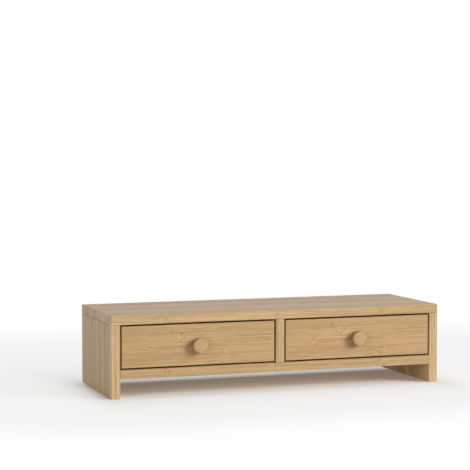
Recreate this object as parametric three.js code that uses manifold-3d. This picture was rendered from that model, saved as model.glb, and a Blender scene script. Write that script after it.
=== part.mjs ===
// A low desk stand: a top board on two side boards, with a shelf that carries two drawers side by side.
// Millimetres, +Z up, -Y towards the person at the desk. The origin lies on the desk, below the middle of the
// stand's overall width and depth, knobs included.
import * as THREE from 'three';
import { RoundedBoxGeometry } from 'three/addons/geometries/RoundedBoxGeometry.js';
import { mergeVertices } from 'three/addons/utils/BufferGeometryUtils.js';
import Module from 'manifold-3d';

// Stand
const standWidth = 560;
const carcassDepth = 190;
const standHeight = 130;
const boardThickness = 14.5;
// Clear height of the open bay under the shelf
const bayHeight = 30.5;
const boardRound = 0.6;

// Back panel, held in grooves behind the drawers
const backThickness = 4;
const backInset = 8;
const backGrooveDepth = 5;
const thinPanelRound = 0.4;

// Drawers
// Room between a drawer front and the boards round it
const drawerGap = 2.7;
const frontRecess = 0.5;
const frontThickness = 12;
const frontRound = 0.6;
const drawerSideThickness = 9;
// Free height left over the drawer's sides and back
const drawerHeadroom = 8;
const drawerBackThickness = 9;
const drawerBackInset = 6;
const drawerHousingDepth = 3;
const drawerBottomThickness = 3;
const drawerBottomHeight = 6;
const drawerGrooveDepth = 4;
const drawerRound = 0.4;

// Knobs, turned from solid wood
const knobRadius = 12.5;
const knobHeadThickness = 7.5;
const knobNeckRadius = 7.5;
const knobNeckLength = 2.5;
const knobFrontRound = 2.6;
const knobBackRound = 1;
// How far the knobs sit below the middle of the drawer fronts
const knobDrop = 1.4;

// Clearances
const seatGap = 0.3;
const grooveClearance = 0.3;
const glideClearance = 0.3;
const stopClearance = 0.3;
const holeClearance = 0.3;
const holeEndRoom = 0.5;

// Places of the fittings along the depth, from the front and from the back
const fittingInset = 32;
const dowelInset = 64;
// Wood left over a blind hole in a board's face
const faceCover = 4;

// Cam bolts, screwed into a board's face, and the cam locks that draw them in
const camDistance = 24;
const boltHeadRadius = 2.8;
const boltNeckRadius = 1.5;
const boltNeckMargin = 0.8;
const boltShankRadius = 2.2;
const boltCollarRadius = 3.2;
const boltCollarLength = 2;
const boltThreadRadius = 3;
const boltThreadRootRadius = 2.3;
const boltThreadPitch = 2.5;
const camRadius = 6;
const camFloor = 3;
const camFaceRecess = 0.3;
const camPocketClearance = 0.4;

// Dowels
const dowelRadius = 3;
const dowelLength = 25;
const dowelChamfer = 0.8;
const drawerDowelRadius = 2.5;
const drawerDowelLength = 20;
const drawerDowelMargin = 10;

// Countersunk screws, up through the shelf into the divider
const screwLength = 35;
const screwHeadRadius = 3.8;
const screwHeadHeight = 2.6;
const screwHeadSink = 0.3;
const screwShankRadius = 2;
const screwRootRadius = 1.5;
const screwPitch = 2.5;

// Pan-head screws that hold the knobs, each on a washer inside the drawer front
const knobScrewDepth = 7;
const knobScrewRadius = 2;
const knobScrewRootRadius = 1.6;
const knobScrewPitch = 1.5;
const panHeadRadius = 3.8;
const panHeadHeight = 2.4;
const washerRadius = 5.5;
const washerThickness = 1;

// Cross recesses
const camCrossLength = 6;
const camCrossWidth = 1.2;
const camCrossDepth = 1.8;
const screwCrossLength = 4.4;
const screwCrossWidth = 0.9;
const screwCrossDepth = 1.4;

// How far a cutting solid runs past the face that it cuts
const cutOverrun = 1;

// Facets of round things
const knobSides = 30;
const camSides = 20;
const fittingSides = 10;
const roundSteps = 3;
const fineEdgeSegments = 2;
const plainEdgeSegments = 1;

// Levels and faces worked out from the sizes above
const shelfTop = bayHeight + boardThickness;
const topUnderside = standHeight - boardThickness;
const openingHeight = topUnderside - shelfTop;
const openingWidth = (standWidth - boardThickness) / 2 - boardThickness;
const openingCentre = (openingWidth + boardThickness) / 2;
const knobReach = seatGap + knobNeckLength + knobHeadThickness - frontRecess;
const frontY = (knobReach - carcassDepth) / 2;
const backY = frontY + carcassDepth;
const backPanelY = backY - backInset - backThickness;
const halfStand = standWidth / 2;
const innerHalf = halfStand - boardThickness;
const fittingRows = { front: frontY + fittingInset, back: backY - fittingInset };
const dowelRows = { front: frontY + dowelInset, back: backY - dowelInset };
const hands = { left: -1, right: 1 };
const blindDepth = boardThickness - faceCover - holeEndRoom;
const boardEdge = { round: boardRound, segments: fineEdgeSegments };
const frontEdge = { round: frontRound, segments: fineEdgeSegments };
const drawerEdge = { round: drawerRound, segments: plainEdgeSegments };
const thinPanelEdge = { round: thinPanelRound, segments: plainEdgeSegments };

const wasm = await Module();
wasm.setup();

// Finishes, one new material for each piece

function bambooFinish() {
  return new THREE.MeshStandardMaterial({ color: 0xcfac7c, roughness: 0.55, metalness: 0 });
}

function bambooDrawerFinish() {
  return new THREE.MeshStandardMaterial({ color: 0xc5a474, roughness: 0.55, metalness: 0 });
}

function thinPanelFinish() {
  return new THREE.MeshStandardMaterial({ color: 0xd8bd90, roughness: 0.65, metalness: 0 });
}

function dowelFinish() {
  return new THREE.MeshStandardMaterial({ color: 0xdcc39a, roughness: 0.75, metalness: 0 });
}

function zincFinish() {
  return new THREE.MeshStandardMaterial({ color: 0xa9abad, roughness: 0.45, metalness: 0.9 });
}

function steelFinish() {
  return new THREE.MeshStandardMaterial({ color: 0xb9b9b6, roughness: 0.35, metalness: 1 });
}

// Geometry

// A closed geometry as a solid that can be joined and cut
function toSolid(geometry) {
  geometry.deleteAttribute('normal');
  geometry.deleteAttribute('uv');
  const merged = mergeVertices(geometry);
  const corners = merged.index.array;
  const kept = [];
  for (let first = 0; first < corners.length; first += 3) {
    const [a, b, c] = corners.slice(first, first + 3);
    if (a !== b && b !== c && c !== a) {
      kept.push(a, b, c);
    }
  }
  const vertProperties = merged.attributes.position.array;
  return new wasm.Manifold(new wasm.Mesh({ numProp: 3, vertProperties, triVerts: new Uint32Array(kept) }));
}

// A solid as a named mesh, placed by a matrix
function makePiece(name, solid, material, place) {
  const { vertProperties, triVerts } = solid.getMesh();
  const geometry = new THREE.BufferGeometry();
  geometry.setAttribute('position', new THREE.BufferAttribute(vertProperties, 3));
  geometry.setIndex(new THREE.BufferAttribute(triVerts, 1));
  geometry.computeVertexNormals();
  material.flatShading = true;
  const mesh = new THREE.Mesh(geometry, material);
  mesh.name = name;
  mesh.applyMatrix4(place);
  return mesh;
}

function point(x, y, z) {
  return new THREE.Vector3(x, y, z);
}

function placeAt(position) {
  return new THREE.Matrix4().setPosition(position);
}

// Turns a piece that lies along +Z so that it points along a direction from its seat
function placeAlong(seat, direction) {
  const turn = new THREE.Quaternion().setFromUnitVectors(point(0, 0, 1), direction);
  return new THREE.Matrix4().makeRotationFromQuaternion(turn).setPosition(seat);
}

function movedBy(solid, place) {
  return solid.transform(place.elements);
}

function boxSolid(low, high) {
  const size = high.clone().sub(low);
  const centre = low.clone().add(high).divideScalar(2);
  return toSolid(new THREE.BoxGeometry(size.x, size.y, size.z).translate(centre.x, centre.y, centre.z));
}

function cylinderSolid(radius, from, to, sides) {
  const cylinder = new THREE.CylinderGeometry(radius, radius, to - from, sides);
  return toSolid(cylinder.rotateX(Math.PI / 2).translate(0, 0, (from + to) / 2));
}

// A solid turned about Z from an outline of [radius, height] pairs
function turnedSolid(outline, sides) {
  const points = outline.map(([radius, height]) => new THREE.Vector2(radius, height));
  return toSolid(new THREE.LatheGeometry(points, sides).rotateX(Math.PI / 2));
}

// The points of a quarter round in an outline, from one angle to another about its centre
function quarterRound(centreRadius, centreHeight, round, fromAngle) {
  const points = [];
  for (let step = 0; step <= roundSteps; step += 1) {
    const angle = fromAngle + (Math.PI / 2) * (step / roundSteps);
    points.push([centreRadius + round * Math.cos(angle), centreHeight + round * Math.sin(angle)]);
  }
  return points;
}

// The ridges of a thread in an outline: whole turns only, with a plain stretch for what is left over
function threadOutline(from, to, rootRadius, crestRadius, pitch) {
  const turns = Math.max(1, Math.floor((to - from) / pitch));
  const points = [[rootRadius, from]];
  for (let turn = 0; turn < turns; turn += 1) {
    points.push([crestRadius, from + (turn + 1 / 2) * pitch]);
    points.push([rootRadius, from + (turn + 1) * pitch]);
  }
  return points;
}

function crossRecess(length, width, depth, face) {
  const top = face + cutOverrun;
  const along = boxSolid(point(-length / 2, -width / 2, face - depth), point(length / 2, width / 2, top));
  const across = boxSolid(point(-width / 2, -length / 2, face - depth), point(width / 2, length / 2, top));
  return along.add(across);
}

// A board between two corners with its edges rounded over, cut by the solids that pass into it
function makeBoard(name, low, high, edge, material, cutters) {
  const size = high.clone().sub(low);
  const centre = low.clone().add(high).divideScalar(2);
  let board = toSolid(new RoundedBoxGeometry(size.x, size.y, size.z, edge.segments, edge.round));
  for (const cutter of cutters) {
    board = board.subtract(cutter.translate(-centre.x, -centre.y, -centre.z));
  }
  return makePiece(name, board, material, placeAt(centre));
}

// The groove that takes a thin panel: the panel's own box with the groove's clearance all round
function grooveFor(low, high) {
  return boxSolid(low.clone().subScalar(grooveClearance), high.clone().addScalar(grooveClearance));
}

// Fittings. Each lies along +Z, with the face where its two boards meet at zero.

function dowelSolid(radius, length, inFace) {
  const start = inFace - length;
  return turnedSolid([
    [0, start],
    [radius - dowelChamfer, start],
    [radius, start + dowelChamfer],
    [radius, inFace - dowelChamfer],
    [radius - dowelChamfer, inFace],
    [0, inFace],
  ], fittingSides);
}

function dowelHole(radius, length, inFace) {
  const holeStart = inFace - length - holeEndRoom;
  return cylinderSolid(radius + holeClearance, holeStart, inFace + holeEndRoom, fittingSides);
}

function camBoltSolid() {
  const headTop = -camDistance + Math.sqrt(boltHeadRadius ** 2 - boltNeckRadius ** 2);
  return turnedSolid([
    ...quarterRound(0, -camDistance, boltHeadRadius, -Math.PI / 2),
    [boltNeckRadius, headTop],
    [boltNeckRadius, -camDistance + camRadius + boltNeckMargin],
    [boltShankRadius, -camDistance + camRadius + boltNeckMargin],
    [boltShankRadius, -boltCollarLength],
    [boltCollarRadius, -boltCollarLength],
    [boltCollarRadius, 0],
    ...threadOutline(0, blindDepth, boltThreadRootRadius, boltThreadRadius, boltThreadPitch),
    [0, blindDepth],
  ], fittingSides);
}

// A cam bolt's two drillings: a narrow one in the board's face and a wider one down the other board's end
function camBoltHole() {
  const threadEnd = blindDepth + holeEndRoom;
  const headEnd = -camDistance - boltHeadRadius - holeEndRoom;
  const inFace = cylinderSolid(boltThreadRadius + holeClearance, -cutOverrun, threadEnd, fittingSides);
  const inEnd = cylinderSolid(boltCollarRadius + holeClearance, headEnd, seatGap, fittingSides);
  return inFace.add(inEnd);
}

// A cam lock's own frame: its axis is Z with its open face up, and the bolt comes in along +X, with its head
// at the origin
function camLockSolid() {
  const face = boardThickness / 2 - camFaceRecess;
  const pocketRadius = boltHeadRadius + camPocketClearance;
  const slotHalf = boltNeckRadius + camPocketClearance;
  const rim = camRadius + cutOverrun;
  const body = cylinderSolid(camRadius, camFloor - boardThickness / 2, face, camSides);
  const pocket = cylinderSolid(pocketRadius, -pocketRadius, pocketRadius, camSides);
  const neckSlot = boxSolid(point(0, -slotHalf, -slotHalf), point(rim, slotHalf, slotHalf));
  const headSlot = boxSolid(point(-pocketRadius, 0, -pocketRadius), point(pocketRadius, rim, pocketRadius));
  const cross = crossRecess(camCrossLength, camCrossWidth, camCrossDepth, face);
  return body.subtract(pocket).subtract(neckSlot).subtract(headSlot).subtract(cross);
}

function camLockHole() {
  const floor = camFloor - boardThickness / 2 - holeClearance;
  return cylinderSolid(camRadius + holeClearance, floor, boardThickness / 2 + cutOverrun, camSides);
}

function camLockPlace(boltHead, towardsSeat, openFace) {
  const across = openFace.clone().cross(towardsSeat);
  return new THREE.Matrix4().makeBasis(towardsSeat, across, openFace).setPosition(boltHead);
}

// A countersunk screw with its head's face down at zero
function screwSolid() {
  const threadStart = boardThickness;
  const threadEnd = screwLength - screwHeadHeight;
  const body = turnedSolid([
    [0, 0],
    [screwHeadRadius, 0],
    [screwShankRadius, screwHeadHeight],
    [screwShankRadius, threadStart],
    ...threadOutline(threadStart, threadEnd, screwRootRadius, screwShankRadius, screwPitch),
    [screwRootRadius, threadEnd],
    [0, screwLength],
  ], fittingSides);
  const cross = crossRecess(screwCrossLength, screwCrossWidth, screwCrossDepth, 0);
  return body.subtract(cross.rotate([180, 0, 0]));
}

function screwHole() {
  const countersink = turnedSolid([
    [0, -cutOverrun],
    [screwHeadRadius + holeClearance, -cutOverrun],
    [screwHeadRadius + holeClearance, 0],
    [screwShankRadius + holeClearance, screwHeadHeight],
    [0, screwHeadHeight],
  ], fittingSides);
  const shank = cylinderSolid(screwShankRadius + holeClearance, 0, screwLength + holeEndRoom, fittingSides);
  return countersink.add(shank);
}

// Knob and its screw. Both lie along +Z, out of the drawer front's face, which is at zero.

function knobSolid() {
  const holeRadius = knobScrewRadius + holeClearance;
  const holeDepth = seatGap + knobScrewDepth + holeEndRoom;
  const headStart = seatGap + knobNeckLength;
  const headEnd = headStart + knobHeadThickness;
  return turnedSolid([
    [0, holeDepth],
    [holeRadius, holeDepth],
    [holeRadius, seatGap],
    [knobNeckRadius, seatGap],
    [knobNeckRadius, headStart],
    ...quarterRound(knobRadius - knobBackRound, headStart + knobBackRound, knobBackRound, -Math.PI / 2),
    ...quarterRound(knobRadius - knobFrontRound, headEnd - knobFrontRound, knobFrontRound, 0),
    [0, headEnd],
  ], knobSides);
}

function knobScrewSolid() {
  const headSeat = -frontThickness - seatGap - washerThickness - seatGap;
  const tip = seatGap + knobScrewDepth;
  const body = turnedSolid([
    [0, headSeat - panHeadHeight],
    [panHeadRadius - panHeadHeight / 2, headSeat - panHeadHeight],
    [panHeadRadius, headSeat - panHeadHeight / 2],
    [panHeadRadius, headSeat],
    [knobScrewRadius, headSeat],
    [knobScrewRadius, seatGap],
    ...threadOutline(seatGap, tip, knobScrewRootRadius, knobScrewRadius, knobScrewPitch),
    [0, tip],
  ], fittingSides);
  const face = headSeat - panHeadHeight;
  const cross = crossRecess(screwCrossLength, screwCrossWidth, screwCrossDepth, -face);
  return body.subtract(cross.rotate([180, 0, 0]));
}

function washerSolid() {
  const bore = knobScrewRadius + holeClearance;
  const seat = -frontThickness - seatGap;
  return turnedSolid([
    [bore, seat - washerThickness],
    [washerRadius, seat - washerThickness],
    [washerRadius, seat],
    [bore, seat],
    [bore, seat - washerThickness],
  ], fittingSides);
}

// Corner joint: two cam bolts, two cam locks and two dowels draw one board's end up to another board's face
function cornerJoint(label, seatAt, into, openFace) {
  const pieces = [];
  const holes = [];
  for (const [row, y] of Object.entries(fittingRows)) {
    const boltPlace = placeAlong(seatAt(y), into);
    const boltHead = seatAt(y).addScaledVector(into, -camDistance);
    const camPlace = camLockPlace(boltHead, into, openFace);
    pieces.push(makePiece(`${label}_${row}_cam_bolt`, camBoltSolid(), steelFinish(), boltPlace));
    pieces.push(makePiece(`${label}_${row}_cam_lock`, camLockSolid(), zincFinish(), camPlace));
    holes.push(movedBy(camBoltHole(), boltPlace), movedBy(camLockHole(), camPlace));
  }
  for (const [row, y] of Object.entries(dowelRows)) {
    const place = placeAlong(seatAt(y), into);
    const dowel = dowelSolid(dowelRadius, dowelLength, blindDepth);
    pieces.push(makePiece(`${label}_${row}_dowel`, dowel, dowelFinish(), place));
    holes.push(movedBy(dowelHole(dowelRadius, dowelLength, blindDepth), place));
  }
  return { pieces, holes };
}

// The divider's own fittings: dowels up into the top, and screws up through the shelf
function dividerJoint() {
  const up = point(0, 0, 1);
  const pieces = [];
  const holes = [];
  for (const [row, y] of Object.entries(dowelRows)) {
    const place = placeAlong(point(0, y, topUnderside), up);
    const dowel = dowelSolid(dowelRadius, dowelLength, blindDepth);
    pieces.push(makePiece(`divider_${row}_dowel`, dowel, dowelFinish(), place));
    holes.push(movedBy(dowelHole(dowelRadius, dowelLength, blindDepth), place));
  }
  for (const [row, y] of Object.entries(fittingRows)) {
    const place = placeAlong(point(0, y, bayHeight + screwHeadSink), up);
    pieces.push(makePiece(`divider_${row}_screw`, screwSolid(), steelFinish(), place));
    holes.push(movedBy(screwHole(), place));
  }
  return { pieces, holes };
}

// Carcass: top, sides, shelf, divider and back panel, with the fittings that hold them
function buildCarcass() {
  const carcass = new THREE.Group();
  const backLow = point(
    -innerHalf - backGrooveDepth + grooveClearance,
    backPanelY,
    shelfTop - backGrooveDepth + grooveClearance,
  );
  const backHigh = point(
    innerHalf + backGrooveDepth - grooveClearance,
    backPanelY + backThickness,
    topUnderside + backGrooveDepth - grooveClearance,
  );
  const backGroove = grooveFor(backLow, backHigh);
  const topHoles = [backGroove];
  const shelfHoles = [backGroove];

  for (const [hand, sign] of Object.entries(hands)) {
    const inwards = point(-sign, 0, 0);
    const outwards = point(sign, 0, 0);
    const boardMiddle = sign * (halfStand - boardThickness / 2);
    const topSeat = (y) => point(boardMiddle, y, topUnderside);
    const shelfSeat = (y) => point(sign * innerHalf, y, bayHeight + boardThickness / 2);
    const topJoint = cornerJoint(`${hand}_top`, topSeat, point(0, 0, 1), inwards);
    const shelfJoint = cornerJoint(`${hand}_shelf`, shelfSeat, outwards, point(0, 0, -1));
    const outerFace = sign * halfStand;
    const innerFace = sign * innerHalf;
    const low = point(Math.min(outerFace, innerFace), frontY, 0);
    const high = point(Math.max(outerFace, innerFace), backY, topUnderside - seatGap);
    const sideHoles = [backGroove, ...topJoint.holes, ...shelfJoint.holes];
    carcass.add(makeBoard(`${hand}_side_panel`, low, high, boardEdge, bambooFinish(), sideHoles));
    carcass.add(...topJoint.pieces, ...shelfJoint.pieces);
    topHoles.push(...topJoint.holes);
    shelfHoles.push(...shelfJoint.holes);
  }

  const divider = dividerJoint();
  carcass.add(...divider.pieces);
  topHoles.push(...divider.holes);
  shelfHoles.push(...divider.holes);

  const topLow = point(-halfStand, frontY, topUnderside);
  const topHigh = point(halfStand, backY, standHeight);
  carcass.add(makeBoard('top_panel', topLow, topHigh, boardEdge, bambooFinish(), topHoles));

  const shelfLow = point(-innerHalf + seatGap, frontY, bayHeight);
  const shelfHigh = point(innerHalf - seatGap, backY, shelfTop);
  carcass.add(makeBoard('shelf', shelfLow, shelfHigh, boardEdge, bambooFinish(), shelfHoles));

  const dividerLow = point(-boardThickness / 2, frontY, shelfTop + seatGap);
  const dividerHigh = point(boardThickness / 2, backPanelY - seatGap, topUnderside - seatGap);
  carcass.add(makeBoard('divider', dividerLow, dividerHigh, boardEdge, bambooFinish(), divider.holes));

  carcass.add(makeBoard('back_panel', backLow, backHigh, thinPanelEdge, thinPanelFinish(), []));
  return carcass;
}

// Drawer in its own frame: x from its middle, y back from its front face, z up from the shelf it slides on
function buildDrawer(label) {
  const drawer = new THREE.Group();
  const halfWidth = openingWidth / 2 - drawerGap;
  const halfInside = halfWidth - drawerSideThickness;
  const boxStart = frontThickness + seatGap;
  const boxEnd = backPanelY - stopClearance - frontY - frontRecess;
  const backEnd = boxEnd - drawerBackInset;
  const backStart = backEnd - drawerBackThickness;
  const lowerEdge = glideClearance;
  const upperEdge = openingHeight - drawerHeadroom;
  const bottomLevel = lowerEdge + drawerBottomHeight;
  const frontMiddle = openingHeight / 2;

  const bottomHalf = halfInside + drawerGrooveDepth - grooveClearance;
  const bottomLow = point(-bottomHalf, frontThickness - drawerGrooveDepth + grooveClearance, bottomLevel);
  const bottomHigh = point(
    bottomHalf,
    backStart + drawerGrooveDepth - grooveClearance,
    bottomLevel + drawerBottomThickness,
  );
  const bottomGroove = grooveFor(bottomLow, bottomHigh);
  drawer.add(makeBoard(`${label}_bottom`, bottomLow, bottomHigh, thinPanelEdge, thinPanelFinish(), []));

  const backHalf = halfInside + drawerHousingDepth - seatGap;
  const backLow = point(-backHalf, backStart, lowerEdge);
  const backHigh = point(backHalf, backEnd, upperEdge);
  const housing = boxSolid(
    point(-backHalf - seatGap, backStart - seatGap, lowerEdge - cutOverrun),
    point(backHalf + seatGap, backEnd + seatGap, upperEdge + cutOverrun),
  );
  drawer.add(makeBoard(`${label}_back`, backLow, backHigh, drawerEdge, bambooDrawerFinish(), [bottomGroove]));

  const outwards = point(0, -1, 0);
  const knobPlace = placeAlong(point(0, 0, frontMiddle - knobDrop), outwards);
  drawer.add(makePiece(`${label}_knob`, knobSolid(), bambooDrawerFinish(), knobPlace));
  drawer.add(makePiece(`${label}_knob_screw`, knobScrewSolid(), steelFinish(), knobPlace));
  drawer.add(makePiece(`${label}_knob_washer`, washerSolid(), steelFinish(), knobPlace));
  const screwRun = cylinderSolid(
    knobScrewRadius + holeClearance,
    -frontThickness - cutOverrun,
    cutOverrun,
    fittingSides,
  );
  const frontHoles = [bottomGroove, movedBy(screwRun, knobPlace)];

  const dowelInFront = frontThickness - faceCover - holeEndRoom;
  const dowelHeights = {
    lower: bottomLevel + drawerBottomThickness + drawerDowelMargin,
    upper: upperEdge - drawerDowelMargin,
  };
  for (const [hand, sign] of Object.entries(hands)) {
    const outerFace = sign * halfWidth;
    const innerFace = sign * halfInside;
    const sideHoles = [bottomGroove, housing];
    for (const [row, height] of Object.entries(dowelHeights)) {
      const seat = point((outerFace + innerFace) / 2, frontThickness, height);
      const place = placeAlong(seat, outwards);
      const dowel = dowelSolid(drawerDowelRadius, drawerDowelLength, dowelInFront);
      const hole = movedBy(dowelHole(drawerDowelRadius, drawerDowelLength, dowelInFront), place);
      drawer.add(makePiece(`${label}_${hand}_${row}_dowel`, dowel, dowelFinish(), place));
      frontHoles.push(hole);
      sideHoles.push(hole);
    }
    const low = point(Math.min(outerFace, innerFace), boxStart, lowerEdge);
    const high = point(Math.max(outerFace, innerFace), boxEnd, upperEdge);
    drawer.add(makeBoard(`${label}_${hand}_side`, low, high, drawerEdge, bambooDrawerFinish(), sideHoles));
  }

  const frontLow = point(-halfWidth, 0, drawerGap);
  const frontHigh = point(halfWidth, frontThickness, openingHeight - drawerGap);
  drawer.add(makeBoard(`${label}_front`, frontLow, frontHigh, frontEdge, bambooDrawerFinish(), frontHoles));
  return drawer;
}

// The whole stand
const stand = new THREE.Group();
stand.add(buildCarcass());
for (const [hand, sign] of Object.entries(hands)) {
  const drawer = buildDrawer(`${hand}_drawer`);
  drawer.position.set(sign * openingCentre, frontY + frontRecess, shelfTop);
  stand.add(drawer);
}

export default stand;
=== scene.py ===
import math

import bmesh
import bpy
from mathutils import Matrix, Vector


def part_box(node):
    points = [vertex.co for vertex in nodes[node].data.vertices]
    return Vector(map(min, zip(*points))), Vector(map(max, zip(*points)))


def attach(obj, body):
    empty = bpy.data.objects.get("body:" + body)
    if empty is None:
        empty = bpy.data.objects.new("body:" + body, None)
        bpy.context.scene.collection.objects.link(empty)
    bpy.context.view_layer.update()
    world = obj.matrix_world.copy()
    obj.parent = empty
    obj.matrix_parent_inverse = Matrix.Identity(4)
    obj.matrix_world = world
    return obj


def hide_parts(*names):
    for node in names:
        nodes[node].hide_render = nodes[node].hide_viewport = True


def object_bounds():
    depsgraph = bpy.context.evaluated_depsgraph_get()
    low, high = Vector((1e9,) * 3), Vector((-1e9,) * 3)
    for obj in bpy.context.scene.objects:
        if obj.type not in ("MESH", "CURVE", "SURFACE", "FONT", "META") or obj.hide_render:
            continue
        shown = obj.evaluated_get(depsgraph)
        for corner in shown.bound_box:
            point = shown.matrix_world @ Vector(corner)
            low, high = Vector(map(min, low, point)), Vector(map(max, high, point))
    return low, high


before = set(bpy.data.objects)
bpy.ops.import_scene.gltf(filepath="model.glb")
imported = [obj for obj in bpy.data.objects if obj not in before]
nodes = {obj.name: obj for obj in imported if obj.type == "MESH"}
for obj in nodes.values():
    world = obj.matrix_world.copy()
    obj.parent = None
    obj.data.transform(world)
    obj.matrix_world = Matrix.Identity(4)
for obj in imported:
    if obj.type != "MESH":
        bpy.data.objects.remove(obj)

cad_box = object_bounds()

# Camera
# It stands about two and a half metres from the stand, in front and to the left and a little above its top,
# with a long lens. Metres, with angles in degrees and the lens in millimetres.
camera_place = (-0.8813, -2.3846, 0.3929)
camera_turn = 19.317
camera_tilt = 3.319
camera_lens = 117.8
camera = bpy.data.objects.new("camera", bpy.data.cameras.new("camera"))
camera.data.lens = camera_lens
camera.location = camera_place
camera.rotation_euler = (math.radians(90 - camera_tilt), 0, math.radians(-camera_turn))
bpy.context.scene.collection.objects.link(camera)
bpy.context.scene.camera = camera


# Side boards
# Two upright boards of laminated bamboo: planed strips glued side by side and running upwards, under a thin
# matt clear coat. They stand on their own lower edges, and cam bolts and dowels hold them from inside.
def add_node(tree, kind, inputs=None, **settings):
    """One node with its settings. An input takes a value, or the output of another node."""
    made = tree.nodes.new(kind)
    for name, value in settings.items():
        setattr(made, name, value)
    for socket, value in (inputs or {}).items():
        if isinstance(value, bpy.types.NodeSocket):
            tree.links.new(value, made.inputs[socket])
        else:
            made.inputs[socket].default_value = value
    return made


def calc(tree, operation, *values):
    """The result of a sum on numbers."""
    inputs = dict(enumerate(values))
    return add_node(tree, "ShaderNodeMath", inputs, operation=operation).outputs[0]


def vector_calc(tree, operation, *values):
    """The result of a sum on vectors."""
    made = add_node(tree, "ShaderNodeVectorMath", dict(enumerate(values)), operation=operation)
    return made.outputs["Value" if operation in ("DOT_PRODUCT", "LENGTH") else "Vector"]


def scaled(tree, vector, factor):
    """A vector times a number."""
    return add_node(tree, "ShaderNodeVectorMath", {0: vector, "Scale": factor}, operation="SCALE").outputs[0]


def fade(tree, value, low, high, low_result=0.0, high_result=1.0):
    """A smooth step from one result to the other as the value goes from low to high."""
    inputs = {"Value": value, "From Min": low, "From Max": high, "To Min": low_result, "To Max": high_result}
    return add_node(tree, "ShaderNodeMapRange", inputs, interpolation_type="SMOOTHSTEP").outputs["Result"]


def grain_noise(tree, place, per_metre, detail=1.0):
    """Noise with its own number of features a metre along each axis."""
    inputs = {"Vector": vector_calc(tree, "MULTIPLY", place, per_metre), "Scale": 1.0, "Detail": detail}
    return add_node(tree, "ShaderNodeTexNoise", inputs).outputs["Fac"]


def mix_colours(tree, share, first, second):
    """The first colour at a share of nothing, the second at one. Inputs 6 and 7 are the node's colours."""
    return add_node(tree, "ShaderNodeMix", {0: share, 6: first, 7: second}, data_type="RGBA").outputs[2]


def random_values(tree, *seeds):
    """Three even random values, as Red, Green and Blue, that stay the same for the same seeds."""
    seed = add_node(tree, "ShaderNodeCombineXYZ", dict(zip("XYZ", seeds))).outputs[0]
    noise = add_node(tree, "ShaderNodeTexWhiteNoise", {"Vector": seed}).outputs["Color"]
    return add_node(tree, "ShaderNodeSeparateColor", {"Color": noise}).outputs


def about_zero(tree, value, swing):
    """A value that swings about a half, made to swing about zero."""
    return calc(tree, "MULTIPLY", calc(tree, "SUBTRACT", value, 0.5), swing)


def srgb(red, green, blue):
    """A colour named by its screen values, as the linear values that sockets take."""
    def linear(value):
        share = value / 255
        return share / 12.92 if share <= 0.04045 else ((share + 0.055) / 1.055) ** 2.4
    return (linear(red), linear(green), linear(blue), 1.0)


# The grain's sizes in metres, and its densities as features a metre along, across and through the fibres
seam_reach = 0.0006
knuckle_wander = 0.012
knuckle_near = 0.002
knuckle_far = 0.014
ring_near = 0.0005
ring_far = 0.0016
fibre_swerve = 0.008
fibre_shift = 7.0
wander_density = (110, 110, 110)
cloud_density = (14, 14, 14)
patch_density = (14, 100, 100)
broad_density = (4, 110, 110)
streak_density = (6, 760, 760)
fleck_density = (45, 800, 800)
bundle_density = (20, 1300, 1300)
speck_density = (260, 700, 700)

# The value at which a noise, or the cosine of a face's turn, starts to show, and where it shows in full
noise_middle = 0.5
bundle_full = 0.68
dark_speck_full = 0.62
pale_speck_full = 0.38
end_grain_start = 0.5
end_grain_full = 0.9
flat_limit = 0.985
round_full = 0.9

# Casts of tint and shade as shares of red, green and blue, and the bamboo's shine
pink_cast = (0.05, -0.03, 0.12)
patch_swing = 2.0
section_swing = 0.07
shade_cast = (0.85, 1.0, 1.3)
smooth_roughness = 0.42
streak_roughness = 0.2
bamboo_bump = 0.35
bamboo_relief = 0.0002
bamboo_specular = 0.35
coat_weight = 0.13
coat_roughness = 0.2


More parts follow.
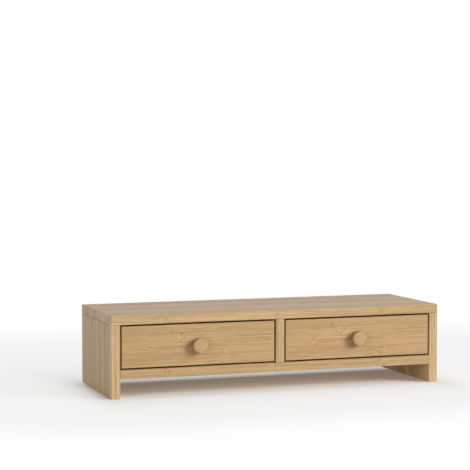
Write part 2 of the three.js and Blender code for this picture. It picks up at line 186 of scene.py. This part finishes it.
def make_bamboo_group():
    """Bamboo strips in layers, each with its own tint, fibres and knuckles, and glue lines between them."""
    tree = bpy.data.node_groups.new("laminated_bamboo", "ShaderNodeTree")
    for name, kind, start in (
        ("Corner", "NodeSocketVector", (0, 0, 0)),
        ("Along", "NodeSocketVector", (1, 0, 0)),
        ("Across", "NodeSocketVector", (0, 1, 0)),
        ("Through", "NodeSocketVector", (0, 0, 1)),
        ("Strip Width", "NodeSocketFloat", 0.02),
        ("Layer Thickness", "NodeSocketFloat", 0.005),
        ("Knuckle Spacing", "NodeSocketFloat", 0.2),
        ("Knuckle Start", "NodeSocketFloat", 0.0),
        ("Seed", "NodeSocketFloat", 0.0),
        ("Pale", "NodeSocketColor", (1, 1, 1, 1)),
        ("Deep", "NodeSocketColor", (1, 1, 1, 1)),
        ("Tint Swing", "NodeSocketFloat", 1.0),
        ("Fibre Strength", "NodeSocketFloat", 1.0),
        ("Knuckle Strength", "NodeSocketFloat", 1.0),
    ):
        tree.interface.new_socket(name, in_out="INPUT", socket_type=kind).default_value = start
    results = {"Color": "NodeSocketColor", "Roughness": "NodeSocketFloat", "Height": "NodeSocketFloat"}
    for name, kind in results.items():
        tree.interface.new_socket(name, in_out="OUTPUT", socket_type=kind)
    given = add_node(tree, "NodeGroupInput").outputs
    place = add_node(tree, "ShaderNodeTexCoord").outputs

    # The board's own lengths: along the fibres, across the strips and through the layers
    from_corner = vector_calc(tree, "SUBTRACT", place["Object"], given["Corner"])
    along = vector_calc(tree, "DOT_PRODUCT", from_corner, given["Along"])
    across = vector_calc(tree, "DOT_PRODUCT", from_corner, given["Across"])
    through = vector_calc(tree, "DOT_PRODUCT", from_corner, given["Through"])

    # Which strip a point lies in, and how near it is to the strip's glue lines
    layer = calc(tree, "FLOOR", calc(tree, "DIVIDE", through, given["Layer Thickness"]))
    layer_random = random_values(tree, layer, given["Seed"])
    strip_place = calc(tree, "ADD", calc(tree, "DIVIDE", across, given["Strip Width"]), layer_random["Red"])
    strip = calc(tree, "FLOOR", strip_place)
    strip_random = random_values(tree, strip, layer, given["Seed"])
    to_seam = calc(tree, "PINGPONG", strip_place, 0.5)
    seam = fade(tree, calc(tree, "MULTIPLY", to_seam, given["Strip Width"]), 0.0, seam_reach, 1.0, 0.0)

    # Knuckles, the rings of the cane: a band of specks with a thin ridge in it, where the fibres swerve
    wander = grain_noise(tree, place["Object"], wander_density)
    spacing = given["Knuckle Spacing"]
    from_start = calc(tree, "SUBTRACT", along, given["Knuckle Start"])
    knuckle_place = calc(tree, "ADD", calc(tree, "DIVIDE", from_start, spacing), strip_random["Green"])
    to_knuckle = calc(tree, "MULTIPLY", calc(tree, "PINGPONG", knuckle_place, 0.5), spacing)
    to_knuckle = calc(tree, "ADD", to_knuckle, about_zero(tree, wander, knuckle_wander))
    near_knuckle = fade(tree, to_knuckle, knuckle_near, knuckle_far, 1.0, 0.0)
    band = calc(tree, "MULTIPLY", near_knuckle, given["Knuckle Strength"])
    thin_ring = fade(tree, calc(tree, "ABSOLUTE", to_knuckle), ring_near, ring_far, 1.0, 0.0)
    ridge = calc(tree, "MULTIPLY", thin_ring, band)
    section_random = random_values(tree, calc(tree, "FLOOR", knuckle_place), strip, given["Seed"])

    # Fibres: broad and narrow streaks, and bundles that show as dots where the strip's end is cut across
    swerve = calc(tree, "MULTIPLY", band, about_zero(tree, wander, fibre_swerve))
    fibre_inputs = {
        "X": calc(tree, "MULTIPLY_ADD", strip_random["Blue"], fibre_shift, along),
        "Y": calc(tree, "ADD", across, swerve),
        "Z": calc(tree, "ADD", through, swerve),
    }
    fibre_place = add_node(tree, "ShaderNodeCombineXYZ", fibre_inputs).outputs[0]
    broad = grain_noise(tree, fibre_place, broad_density)
    streaks = grain_noise(tree, fibre_place, streak_density, detail=2.0)
    flecks = grain_noise(tree, fibre_place, fleck_density)
    bundles = fade(tree, grain_noise(tree, fibre_place, bundle_density), noise_middle, bundle_full)
    speck_noise = grain_noise(tree, fibre_place, speck_density)
    dark_specks = calc(tree, "MULTIPLY", band, fade(tree, speck_noise, noise_middle, dark_speck_full))
    pale_specks = calc(tree, "MULTIPLY", band, fade(tree, speck_noise, noise_middle, pale_speck_full))

    def squareness(direction):
        """One on a face that looks straight along the direction, less on one that is turned from it."""
        return calc(tree, "ABSOLUTE", vector_calc(tree, "DOT_PRODUCT", place["Normal"], given[direction]))

    # Faces: end grain shows the ends of its bundles, and rounded edges, square to no direction, are sanded
    # and come out a little paler, partly as a painted highlight
    cut_across = squareness("Along")
    flat_across = squareness("Across")
    flat_through = squareness("Through")
    end_grain = fade(tree, cut_across, end_grain_start, end_grain_full)
    flat = calc(tree, "MAXIMUM", calc(tree, "MAXIMUM", cut_across, flat_across), flat_through)
    sanded_and_highlight = fade(tree, flat, flat_limit, round_full)

    # Tint: each strip leans to a yellow or a pink cast, in long patches too
    tint = mix_colours(tree, strip_random["Red"], given["Deep"], given["Pale"])
    patches = about_zero(tree, grain_noise(tree, fibre_place, patch_density), patch_swing)
    lean = calc(tree, "ADD", about_zero(tree, strip_random["Blue"], 1.0), patches)
    pink = scaled(tree, pink_cast, calc(tree, "MULTIPLY", lean, given["Tint Swing"]))
    tint = vector_calc(tree, "MULTIPLY", tint, vector_calc(tree, "ADD", pink, (1, 1, 1)))

    # Shade: what darkens the bamboo takes more of its blue than of its red
    clouds = grain_noise(tree, place["Object"], cloud_density, detail=2.0)
    fibres = given["Fibre Strength"]
    shade = about_zero(tree, section_random["Red"], section_swing)
    for mask, share in (
        (about_zero(tree, clouds, -1.0), 0.08),
        (calc(tree, "MULTIPLY", about_zero(tree, broad, -1.0), fibres), 0.28),
        (calc(tree, "MULTIPLY", about_zero(tree, streaks, -1.0), fibres), 1.0),
        (calc(tree, "MULTIPLY", about_zero(tree, flecks, -1.0), fibres), 0.4),
        (calc(tree, "MULTIPLY", bundles, fibres), 0.14),
        (calc(tree, "MULTIPLY", calc(tree, "MULTIPLY", bundles, fibres), end_grain), 0.14),
        (seam, 0.12),
        (dark_specks, 0.22),
        (pale_specks, -0.2),
        (ridge, 0.08),
        (end_grain, -0.03),
        # Rounded edges a little paler: sanded wood, and partly a painted highlight
        (sanded_and_highlight, -0.03),
    ):
        shade = calc(tree, "MULTIPLY_ADD", mask, share, shade)
    kept = vector_calc(tree, "SUBTRACT", (1, 1, 1), scaled(tree, shade_cast, shade))
    colour = vector_calc(tree, "MULTIPLY", tint, kept)
    roughness = calc(tree, "MULTIPLY_ADD", streaks, streak_roughness, smooth_roughness)

    # Relief: streaks stand up, the soft bundles and the glue lines lie lower
    height = calc(tree, "MULTIPLY", streaks, 0.6)
    for mask, share in ((bundles, -0.5), (seam, -0.5), (dark_specks, 0.3)):
        height = calc(tree, "MULTIPLY_ADD", mask, share, height)
    add_node(tree, "NodeGroupOutput", {"Color": colour, "Roughness": roughness, "Height": height})
    return tree


bamboo_group = make_bamboo_group()

# The pattern starts just outside a board's corner, so that none of its faces lies where two layers meet
face_margin = Vector((0.0002, 0.0002, 0.0002))
axes = {"x": Vector((1, 0, 0)), "y": Vector((0, 1, 0)), "z": Vector((0, 0, 1))}


def bamboo_material(name, node_name, directions, seed, pale, deep, layers=1, strip_width=0.02, spacing=0.2,
                    start=0.0, swing=1.0, fibres=1.0, knuckles=1.0):
    """Bamboo for one board. Its directions are the axes of its fibres, strips and layers, in this order.

    Spacing and start place its knuckles along the fibres, in metres. Swing, fibres and knuckles say how
    strongly its tints, fibres and knuckles show.
    """
    low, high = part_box(node_name)
    along, across, through = (axes[axis] for axis in directions)
    material = bpy.data.materials.new(name)
    material.use_nodes = True
    tree = material.node_tree
    surface = tree.nodes["Principled BSDF"]
    values = {
        "Corner": low - face_margin, "Along": along, "Across": across, "Through": through,
        "Strip Width": strip_width, "Layer Thickness": (high - low + 2 * face_margin).dot(through) / layers,
        "Knuckle Spacing": spacing, "Knuckle Start": start, "Seed": seed, "Pale": pale, "Deep": deep,
        "Tint Swing": swing, "Fibre Strength": fibres, "Knuckle Strength": knuckles,
    }
    bamboo = add_node(tree, "ShaderNodeGroup", node_tree=bamboo_group)
    for socket, value in values.items():
        bamboo.inputs[socket].default_value = value
    bump_inputs = {"Height": bamboo.outputs["Height"], "Strength": bamboo_bump, "Distance": bamboo_relief}
    bump = add_node(tree, "ShaderNodeBump", bump_inputs)
    tree.links.new(bamboo.outputs["Color"], surface.inputs["Base Color"])
    tree.links.new(bamboo.outputs["Roughness"], surface.inputs["Roughness"])
    tree.links.new(bump.outputs["Normal"], surface.inputs["Normal"])
    surface.inputs["Specular IOR Level"].default_value = bamboo_specular
    surface.inputs["Coat Weight"].default_value = coat_weight
    surface.inputs["Coat Roughness"].default_value = coat_roughness
    return material


def finish_node(node_name, material):
    """A material for a piece that keeps its own mesh."""
    for holder in nodes[node_name].material_slots:
        holder.material = material


board_pale = srgb(213, 181, 135)
board_deep = srgb(190, 156, 109)
board_swing = 1.5
calm_swing = 1.0
side_strip = 0.016
side_fibres = 1.25
for hand, seed, start, swing in (("left", 71.0, -0.009, board_swing), ("right", 1781.0, 0.135, calm_swing)):
    board = f"{hand}_side_panel"
    finish = bamboo_material(
        f"{board}_bamboo", board, "zyx", seed, board_pale, board_deep,
        strip_width=side_strip, start=start, swing=swing, fibres=side_fibres,
    )
    finish_node(board, finish)

# Shelf
# One board of the same bamboo, its strips running from side to side, held between the side boards by cam
# bolts and dowels. The drawers slide on it, and the open bay lies under it.
shelf_finish = bamboo_material(
    "shelf_bamboo", "shelf", "xyz", pale=board_pale, deep=board_deep,
    seed=265.0, spacing=0.182, start=-0.055, swing=board_swing,
)
finish_node("shelf", shelf_finish)

# Divider
# A short upright board of the same bamboo, its strips running upwards, that parts the two drawers. Two
# dowels hold it under the top, and two countersunk screws come up into it through the shelf.
divider_finish = bamboo_material(
    "divider_bamboo", "divider", "zyx", pale=board_pale, deep=board_deep,
    seed=2663.0, start=0.03, swing=board_swing, fibres=1.3,
)
finish_node("divider", divider_finish)

# Top board
# The widest board, of the same bamboo with its strips running from side to side. It lies on both side boards
# and the divider, set on dowels, and cam bolts from inside draw it down, so that no fastener shows on it.
top_swing = 1.3
top_finish = bamboo_material(
    "top_bamboo", "top_panel", "xyz", pale=board_pale, deep=board_deep,
    seed=4442.0, spacing=0.185, start=0.135, swing=top_swing, fibres=1.15,
)
finish_node("top_panel", top_finish)

# Back panel
# A thin sheet of bamboo plywood, three veneers glued together, that closes the stand behind the drawers and
# stops them. It sits in grooves in the top, the shelf and both side boards.
ply_pale = srgb(216, 189, 146)
ply_deep = srgb(206, 176, 131)
ply_veneers = 3
ply_strip = 0.03
ply_swing = 0.5
back_finish = bamboo_material(
    "back_panel_ply", "back_panel", "xzy", pale=ply_pale, deep=ply_deep,
    seed=29.0, layers=ply_veneers, strip_width=ply_strip, swing=ply_swing, knuckles=0.8,
)
finish_node("back_panel", back_finish)

# Dowels
# Plain round pins of beech with chamfered ends, glued into holes in the ends and faces of the boards. None
# of them shows once the stand is put together.
beech_pale = srgb(219, 190, 148)
beech_dark = srgb(190, 155, 110)
beech_density = (700, 700, 700)
beech_fleck_start = 0.55
beech_fleck_full = 0.7
beech_roughness = 0.7
beech_fleck_roughness = 0.1


def make_beech(name):
    """Beech: pale, with short dark flecks along the pin."""
    material = bpy.data.materials.new(name)
    material.use_nodes = True
    tree = material.node_tree
    surface = tree.nodes["Principled BSDF"]
    place = add_node(tree, "ShaderNodeTexCoord").outputs["Object"]
    noise = grain_noise(tree, place, beech_density, detail=2.0)
    flecks = fade(tree, noise, beech_fleck_start, beech_fleck_full)
    roughness = calc(tree, "MULTIPLY_ADD", flecks, beech_fleck_roughness, beech_roughness)
    tree.links.new(mix_colours(tree, flecks, beech_pale, beech_dark), surface.inputs["Base Color"])
    tree.links.new(roughness, surface.inputs["Roughness"])
    return material


beech = make_beech("dowel_beech")
for name in nodes:
    if name.endswith("_dowel"):
        finish_node(name, beech)

# Cam bolts, cam locks and screws
# Zinc-plated steel bolts, screws and washers, and die-cast zinc locks that turn in their pockets and draw
# the bolts' heads in. The shelf's locks and the divider's screws show from below, the side boards' locks
# behind the drawers, and the knobs' screws inside them.
metal_density = (900, 900, 900)
metal_relief = 0.0001
metal_roughness_swing = 0.2


def make_metal(name, colour, roughness, mottle):
    """Plated or cast metal, a little uneven in its shine."""
    material = bpy.data.materials.new(name)
    material.use_nodes = True
    tree = material.node_tree
    surface = tree.nodes["Principled BSDF"]
    place = add_node(tree, "ShaderNodeTexCoord").outputs["Object"]
    patches = grain_noise(tree, place, metal_density, detail=3.0)
    bump_inputs = {"Height": patches, "Strength": mottle, "Distance": metal_relief}
    bump = add_node(tree, "ShaderNodeBump", bump_inputs)
    tinted = scaled(tree, colour[:3], calc(tree, "ADD", about_zero(tree, patches, mottle), 1.0))
    smoothest = roughness - metal_roughness_swing / 2
    uneven = calc(tree, "MULTIPLY_ADD", patches, metal_roughness_swing, smoothest)
    tree.links.new(tinted, surface.inputs["Base Color"])
    tree.links.new(uneven, surface.inputs["Roughness"])
    tree.links.new(bump.outputs["Normal"], surface.inputs["Normal"])
    surface.inputs["Metallic"].default_value = 1.0
    return material


steel = make_metal("zinc_plated_steel", srgb(188, 188, 184), roughness=0.3, mottle=0.15)
zinc = make_metal("cast_zinc", srgb(160, 162, 164), roughness=0.48, mottle=0.35)
for name in nodes:
    if name.endswith(("_cam_bolt", "_screw", "_washer")):
        finish_node(name, steel)
    if name.endswith("_cam_lock"):
        finish_node(name, zinc)

# Drawer fronts, sides, backs and bottoms
# Each drawer has a front of the same bamboo with its strips running across, two sides dowelled to it, a back
# let into the sides, and a bottom of thin bamboo plywood in grooves. The fronts share one pattern of grain.
front_pale = srgb(197, 162, 114)
front_deep = srgb(189, 154, 106)
inner_pale = srgb(206, 174, 128)
inner_deep = srgb(194, 160, 113)
front_strip = 0.016
front_seed = 66685.0
for hand, seed in (("left", 40.0), ("right", 60.0)):
    front = f"{hand}_drawer_front"
    front_finish = bamboo_material(
        f"{front}_bamboo", front, "xzy", pale=front_pale, deep=front_deep,
        seed=front_seed, strip_width=front_strip, spacing=0.22, start=0.084, swing=0.8, knuckles=0.85,
    )
    finish_node(front, front_finish)
    back = f"{hand}_drawer_back"
    back_finish = bamboo_material(f"{back}_bamboo", back, "xzy", seed + 3, inner_pale, inner_deep)
    finish_node(back, back_finish)
    bottom = f"{hand}_drawer_bottom"
    bottom_finish = bamboo_material(
        f"{bottom}_ply", bottom, "xyz", pale=ply_pale, deep=ply_deep,
        seed=seed + 5, layers=ply_veneers, strip_width=ply_strip, swing=ply_swing,
    )
    finish_node(bottom, bottom_finish)
    for edge, side_seed in (("left", seed + 7), ("right", seed + 8)):
        side = f"{hand}_drawer_{edge}_side"
        side_finish = bamboo_material(f"{side}_bamboo", side, "yzx", side_seed, inner_pale, inner_deep)
        finish_node(side, side_finish)

# Knobs
# Turned from a block of bamboo whose fibres run out towards the hand, so that the face shows their cut ends
# as fine dots. A flat head with a rounded rim sits on a narrower neck, and a screw from inside holds it.
knob_pale = srgb(199, 164, 117)
knob_deep = srgb(194, 157, 110)
knob_block_width = 0.05
knob_radius = 0.0125
knob_neck_radius = 0.0075
knob_neck_length = 0.0025
knob_seat = 0.0003
knob_front_round = 0.0018
knob_back_round = 0.0012
knob_neck_cove = 0.0006
knob_front_steps = 6
knob_back_steps = 4
knob_cove_steps = 3
knob_crown = 0.0003
knob_crown_inset = 0.0028
knob_crown_lift_shares = (0.55, 0.3, 0.15)
knob_bore_radius = 0.0023
knob_bore_depth = 0.0075
knob_segments = 72
knob_smooth_angle = 35

# The pale middle of the face, a little to the left of the knob's axis, and the darker rim round it: partly
# the turned grain's tone, partly painted shade that holds down the key lamp's light on the rim
knob_face_radius = 0.0113
knob_face_shift = Vector((-0.0009, 0, 0))
knob_rim_blend = 0.0011
knob_rim_tone_and_shade = (0.72, 0.7, 0.61, 1)


def select_only(shape, wanted):
    """In edit mode, selects the faces or edges of the shape that the test picks, and nothing else."""
    bpy.ops.mesh.select_all(action="DESELECT")
    mesh = bmesh.from_edit_mesh(shape.data)
    for group in (mesh.edges, mesh.faces):
        for item in group:
            if wanted(item):
                item.select_set(True)
    bmesh.update_edit_mesh(shape.data)


def is_face(item):
    return isinstance(item, bmesh.types.BMFace)


def at_height(item, height, reach=1e-5):
    return all(abs(corner.co.z - height) < reach for corner in item.verts)


def at_radius(item, radius, reach=1e-5):
    return all(abs(corner.co.xy.length - radius) < reach for corner in item.verts)


def on_circle(item, height, radius):
    return not is_face(item) and at_height(item, height) and at_radius(item, radius)


def turn_knob(name, place, length):
    """A knob of this length, turned along +Z from its seat and then set on the front of its drawer."""
    head_back = knob_seat + knob_neck_length
    bpy.ops.object.select_all(action="DESELECT")
    bpy.ops.mesh.primitive_cylinder_add(
        vertices=knob_segments, radius=knob_neck_radius, depth=knob_neck_length, location=(0, 0, 0),
    )
    knob = bpy.context.object
    knob.name = name
    knob.data.name = name
    bpy.ops.object.mode_set(mode="EDIT")
    bpy.ops.mesh.select_mode(type="FACE")
    bpy.ops.mesh.select_all(action="SELECT")
    bpy.ops.transform.translate(value=(0, 0, knob_seat + knob_neck_length / 2))
    select_only(knob, lambda item: is_face(item) and at_height(item, head_back))
    bpy.ops.mesh.extrude_region_move()
    head_share = knob_radius / knob_neck_radius
    bpy.ops.transform.resize(value=(head_share, head_share, 1))
    rim_height = length - knob_crown
    bpy.ops.mesh.extrude_region_move(TRANSFORM_OT_translate={"value": (0, 0, rim_height - head_back)})
    bpy.ops.mesh.select_mode(type="EDGE")
    for height, radius, size, steps in (
        (rim_height, knob_radius, knob_front_round, knob_front_steps),
        (head_back, knob_radius, knob_back_round, knob_back_steps),
        (head_back, knob_neck_radius, knob_neck_cove, knob_cove_steps),
    ):
        select_only(knob, lambda item: on_circle(item, height, radius))
        bpy.ops.mesh.bevel(offset=size, segments=steps, affect="EDGES")
    bpy.ops.mesh.select_mode(type="FACE")
    select_only(knob, lambda item: is_face(item) and at_height(item, rim_height))
    for share in knob_crown_lift_shares:
        bpy.ops.mesh.inset(thickness=knob_crown_inset)
        bpy.ops.transform.translate(value=(0, 0, knob_crown * share))
    select_only(knob, lambda item: is_face(item) and at_height(item, knob_seat))
    bpy.ops.mesh.inset(thickness=knob_neck_radius - knob_bore_radius)
    bpy.ops.mesh.extrude_region_move(TRANSFORM_OT_translate={"value": (0, 0, knob_bore_depth)})
    bpy.ops.mesh.select_all(action="SELECT")
    bpy.ops.mesh.normals_make_consistent(inside=False)
    bpy.ops.object.mode_set(mode="OBJECT")
    knob.rotation_euler = (math.radians(90), 0, 0)
    knob.location = place
    bpy.ops.object.transform_apply(location=True, rotation=True, scale=True)
    bpy.ops.object.shade_smooth_by_angle(angle=math.radians(knob_smooth_angle))
    return knob


def paint_rim_tone_and_shade(material, middle):
    """A knob's turned side and rim, darker and yellower than its face's middle: grain tone and painted
    shade.
    """
    tree = material.node_tree
    base = tree.nodes["Principled BSDF"].inputs["Base Color"]
    place = add_node(tree, "ShaderNodeTexCoord").outputs["Object"]
    from_middle = vector_calc(tree, "SUBTRACT", place, middle)
    from_axis = vector_calc(tree, "LENGTH", vector_calc(tree, "MULTIPLY", from_middle, (1, 0, 1)))
    rim = fade(tree, from_axis, knob_face_radius - knob_rim_blend, knob_face_radius + knob_rim_blend)
    rim_tone_and_shade = mix_colours(tree, rim, (1, 1, 1, 1), knob_rim_tone_and_shade)
    tree.links.new(vector_calc(tree, "MULTIPLY", base.links[0].from_socket, rim_tone_and_shade), base)


for hand, seed in (("left", 83.0), ("right", 107.0)):
    node_name = f"{hand}_drawer_knob"
    low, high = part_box(node_name)
    front_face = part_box(f"{hand}_drawer_front")[0].y
    knob_place = ((low.x + high.x) / 2, front_face, (low.z + high.z) / 2)
    knob = turn_knob(f"{hand}_turned_knob", knob_place, front_face - low.y)
    finish = bamboo_material(
        f"{node_name}_bamboo", node_name, "yxz", seed, knob_pale, knob_deep, strip_width=knob_block_width,
    )
    # The rim's darker tone is partly painted shade, holding down the key lamp's light on the rounded rim
    paint_rim_tone_and_shade(finish, (low + high) / 2 + knob_face_shift)
    knob.data.materials.append(finish)
    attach(knob, f"{hand}_drawer")
    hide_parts(node_name)

# Floor
# A plain white studio sweep. Near the stand it keeps the stand's real soft shadow, darkened further by a
# painted shadow where its white glow is held back, and under the stand a painted warm light off the bamboo.
# It fades to pure white away from it, a little sooner in front than behind. It is clear from below.
floor_size = 12.0
floor_drop = 0.0002
floor_white = 0.92

# How white it glows near the stand, where it starts and ends to fade to pure white, and the lead in front
near_glow = 0.83
far_start = 0.25
far_end = 0.6
front_lead = 0.35

# The painted shadow patch under the stand, where the floor doesn't glow: where it starts at front and back,
# how it dies away, the share of it that reaches further in front and behind, and the colour of its painted
# bounce light
front_light = 0.02
back_light = 0.04
near_reach = 0.022
near_spread = (1.35, 0.6, 0)
wide_reach = 0.09
wide_spread = (3, 1, 0)
wide_share = 0.18
painted_bounce_colour = (0.116, 0.089, 0.069)

# That painted shadow patch is as wide as the stand and as deep as the shelf, less the light that comes in at
# front and back, which the glow paints there
foot_low, foot_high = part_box("shelf")
foot_front = foot_low.y + front_light
foot_back = foot_high.y - back_light
foot_middle = ((foot_low.x + foot_high.x) / 2, (foot_front + foot_back) / 2, 0)
foot_half = ((cad_box[1].x - cad_box[0].x) / 2, (foot_back - foot_front) / 2, 0)
bpy.ops.object.select_all(action="DESELECT")
bpy.ops.mesh.primitive_plane_add(size=floor_size, location=(0, 0, -floor_drop))
floor = bpy.context.object
floor.name = "floor"
bpy.ops.object.transform_apply(location=True, rotation=True, scale=True)
floor_finish = bpy.data.materials.new("studio_floor")
floor_finish.use_nodes = True
tree = floor_finish.node_tree
tree.nodes.clear()
ground = vector_calc(tree, "SUBTRACT", add_node(tree, "ShaderNodeTexCoord").outputs["Object"], foot_middle)
beyond = vector_calc(tree, "SUBTRACT", vector_calc(tree, "ABSOLUTE", ground), foot_half)
outside = vector_calc(tree, "MAXIMUM", beyond, (0, 0, 0))
away = vector_calc(tree, "LENGTH", vector_calc(tree, "MULTIPLY", outside, (1, 1, 0)))


def die_away(spread, reach):
    """One at the stand's foot, falling off with distance, faster where the spread is larger."""
    distance = vector_calc(tree, "LENGTH", vector_calc(tree, "MULTIPLY", outside, spread))
    return calc(tree, "EXPONENT", calc(tree, "DIVIDE", distance, -reach))


# Painted shadow: less white glow near the stand's foot, so that the floor shows darker round it
painted_shadow_core = die_away(near_spread, near_reach)
wide = calc(tree, "MULTIPLY", die_away(wide_spread, wide_reach), wide_share)
painted_shadow = calc(tree, "MULTIPLY_ADD", painted_shadow_core, 1.0 - wide_share, wide)
near = calc(tree, "MULTIPLY", calc(tree, "SUBTRACT", 1.0, painted_shadow), near_glow)
ahead = calc(tree, "MULTIPLY_ADD", vector_calc(tree, "DOT_PRODUCT", ground, (0, -1, 0)), front_lead, away)
glow = calc(tree, "ADD", near, fade(tree, ahead, far_start, far_end, 0.0, 1.0 - near_glow))


def seen_directly(tree):
    """One for what is seen, straight or in a reflection, and nothing for light that falls on the stand."""
    path = add_node(tree, "ShaderNodeLightPath").outputs
    mirrored = calc(tree, "MAXIMUM", path["Is Glossy Ray"], path["Is Transmission Ray"])
    return calc(tree, "MAXIMUM", mirrored, path["Is Camera Ray"])


seen = seen_directly(tree)
floor_colour = (floor_white, floor_white, floor_white, 1)
plain = add_node(tree, "ShaderNodeBsdfDiffuse", {"Color": floor_colour}).outputs[0]
white = add_node(tree, "ShaderNodeEmission", {"Color": (1, 1, 1, 1), "Strength": 1.0}).outputs[0]
# Painted warm bounce light: under the stand the floor glows faintly in the bamboo's colour
painted_bounce_inputs = {"Color": (*painted_bounce_colour, 1), "Strength": calc(tree, "MULTIPLY", painted_shadow_core, seen)}
painted_warm_bounce = add_node(tree, "ShaderNodeEmission", painted_bounce_inputs).outputs[0]
matt = add_node(tree, "ShaderNodeAddShader", {0: plain, 1: painted_warm_bounce}).outputs[0]
glowing = calc(tree, "MULTIPLY", glow, seen)
sweep = add_node(tree, "ShaderNodeMixShader", {0: glowing, 1: matt, 2: white}).outputs[0]
underneath = add_node(tree, "ShaderNodeNewGeometry").outputs["Backfacing"]
straight = add_node(tree, "ShaderNodeLightPath").outputs["Is Camera Ray"]
from_below = calc(tree, "MULTIPLY", underneath, straight)
clear = add_node(tree, "ShaderNodeBsdfTransparent").outputs[0]
two_sided = add_node(tree, "ShaderNodeMixShader", {0: from_below, 1: sweep, 2: clear}).outputs[0]
add_node(tree, "ShaderNodeOutputMaterial", {"Surface": two_sided})
floor.data.materials.append(floor_finish)

# Light
# An even white room and three soft lamps: a large one high in front to the right, a weaker one to the left
# and one behind that leaves no shine. A lamp's strength is what a white card that faces it shows, its turn
# is in degrees from straight in front towards the right, and its height in degrees above the floor.
room_light = 0.055
world = bpy.data.worlds.new("studio")
bpy.context.scene.world = world
world.use_nodes = True
tree = world.node_tree
tree.nodes.clear()
room = add_node(tree, "ShaderNodeBackground", {"Color": (1, 1, 1, 1), "Strength": room_light}).outputs[0]
backdrop = add_node(tree, "ShaderNodeBackground", {"Color": (1, 1, 1, 1), "Strength": 1.0}).outputs[0]
mixed = add_node(tree, "ShaderNodeMixShader", {0: seen_directly(tree), 1: room, 2: backdrop}).outputs[0]
add_node(tree, "ShaderNodeOutputWorld", {"Surface": mixed})
stand_middle = (cad_box[0] + cad_box[1]) / 2
for name, card_white, turn, height, distance, size, shines in (
    ("key_lamp", 1.065, 54, 18.5, 10.0, 4.4, True),
    ("fill_lamp", 0.43, -58, 6, 5.0, 3.0, True),
    ("back_lamp", 0.37, 180, 5, 6.0, 2.4, False),
):
    lamp = bpy.data.objects.new(name, bpy.data.lights.new(name, "AREA"))
    lamp.data.size = size
    lamp.data.energy = card_white * (math.pi * distance) ** 2
    towards = Vector((
        math.sin(math.radians(turn)) * math.cos(math.radians(height)),
        -math.cos(math.radians(turn)) * math.cos(math.radians(height)),
        math.sin(math.radians(height)),
    ))
    lamp.location = stand_middle + towards * distance
    lamp.visible_glossy = shines
    lamp.rotation_euler = towards.to_track_quat("Z", "Y").to_euler()
    bpy.context.scene.collection.objects.link(lamp)

# Plain colour management, so that colours render as they are written
bpy.context.scene.view_settings.view_transform = "Standard"
